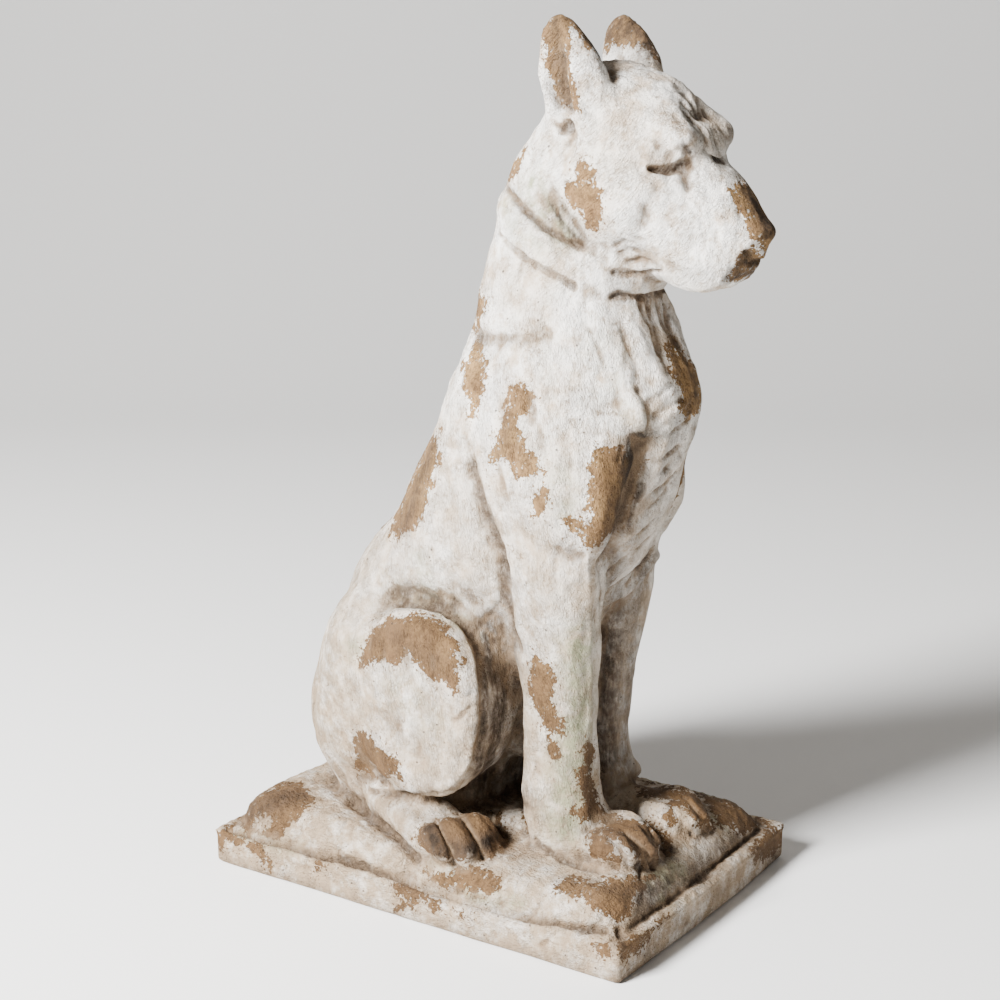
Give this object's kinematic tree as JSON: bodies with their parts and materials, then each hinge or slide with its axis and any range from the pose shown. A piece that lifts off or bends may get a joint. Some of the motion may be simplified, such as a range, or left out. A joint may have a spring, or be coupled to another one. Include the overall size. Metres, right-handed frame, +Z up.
{
  "type": "dog garden statue",
  "caption": "Seated guard dog with cropped ears and a collar, cast in one with its oblong plinth, in worn white paint over tan clay. It stands by its own weight.",
  "frame": {"origin": "middle of the plinth's underside", "axes": "+Z up; the dog faces -Y, and its left side is +X"},
  "size_m": [0.318, 0.4981, 0.8002],
  "materials": {
    "painted_clay": null
  },
  "bodies": {
    "root": {"dog_statue": "painted_clay"}
  },
  "joints": []
}
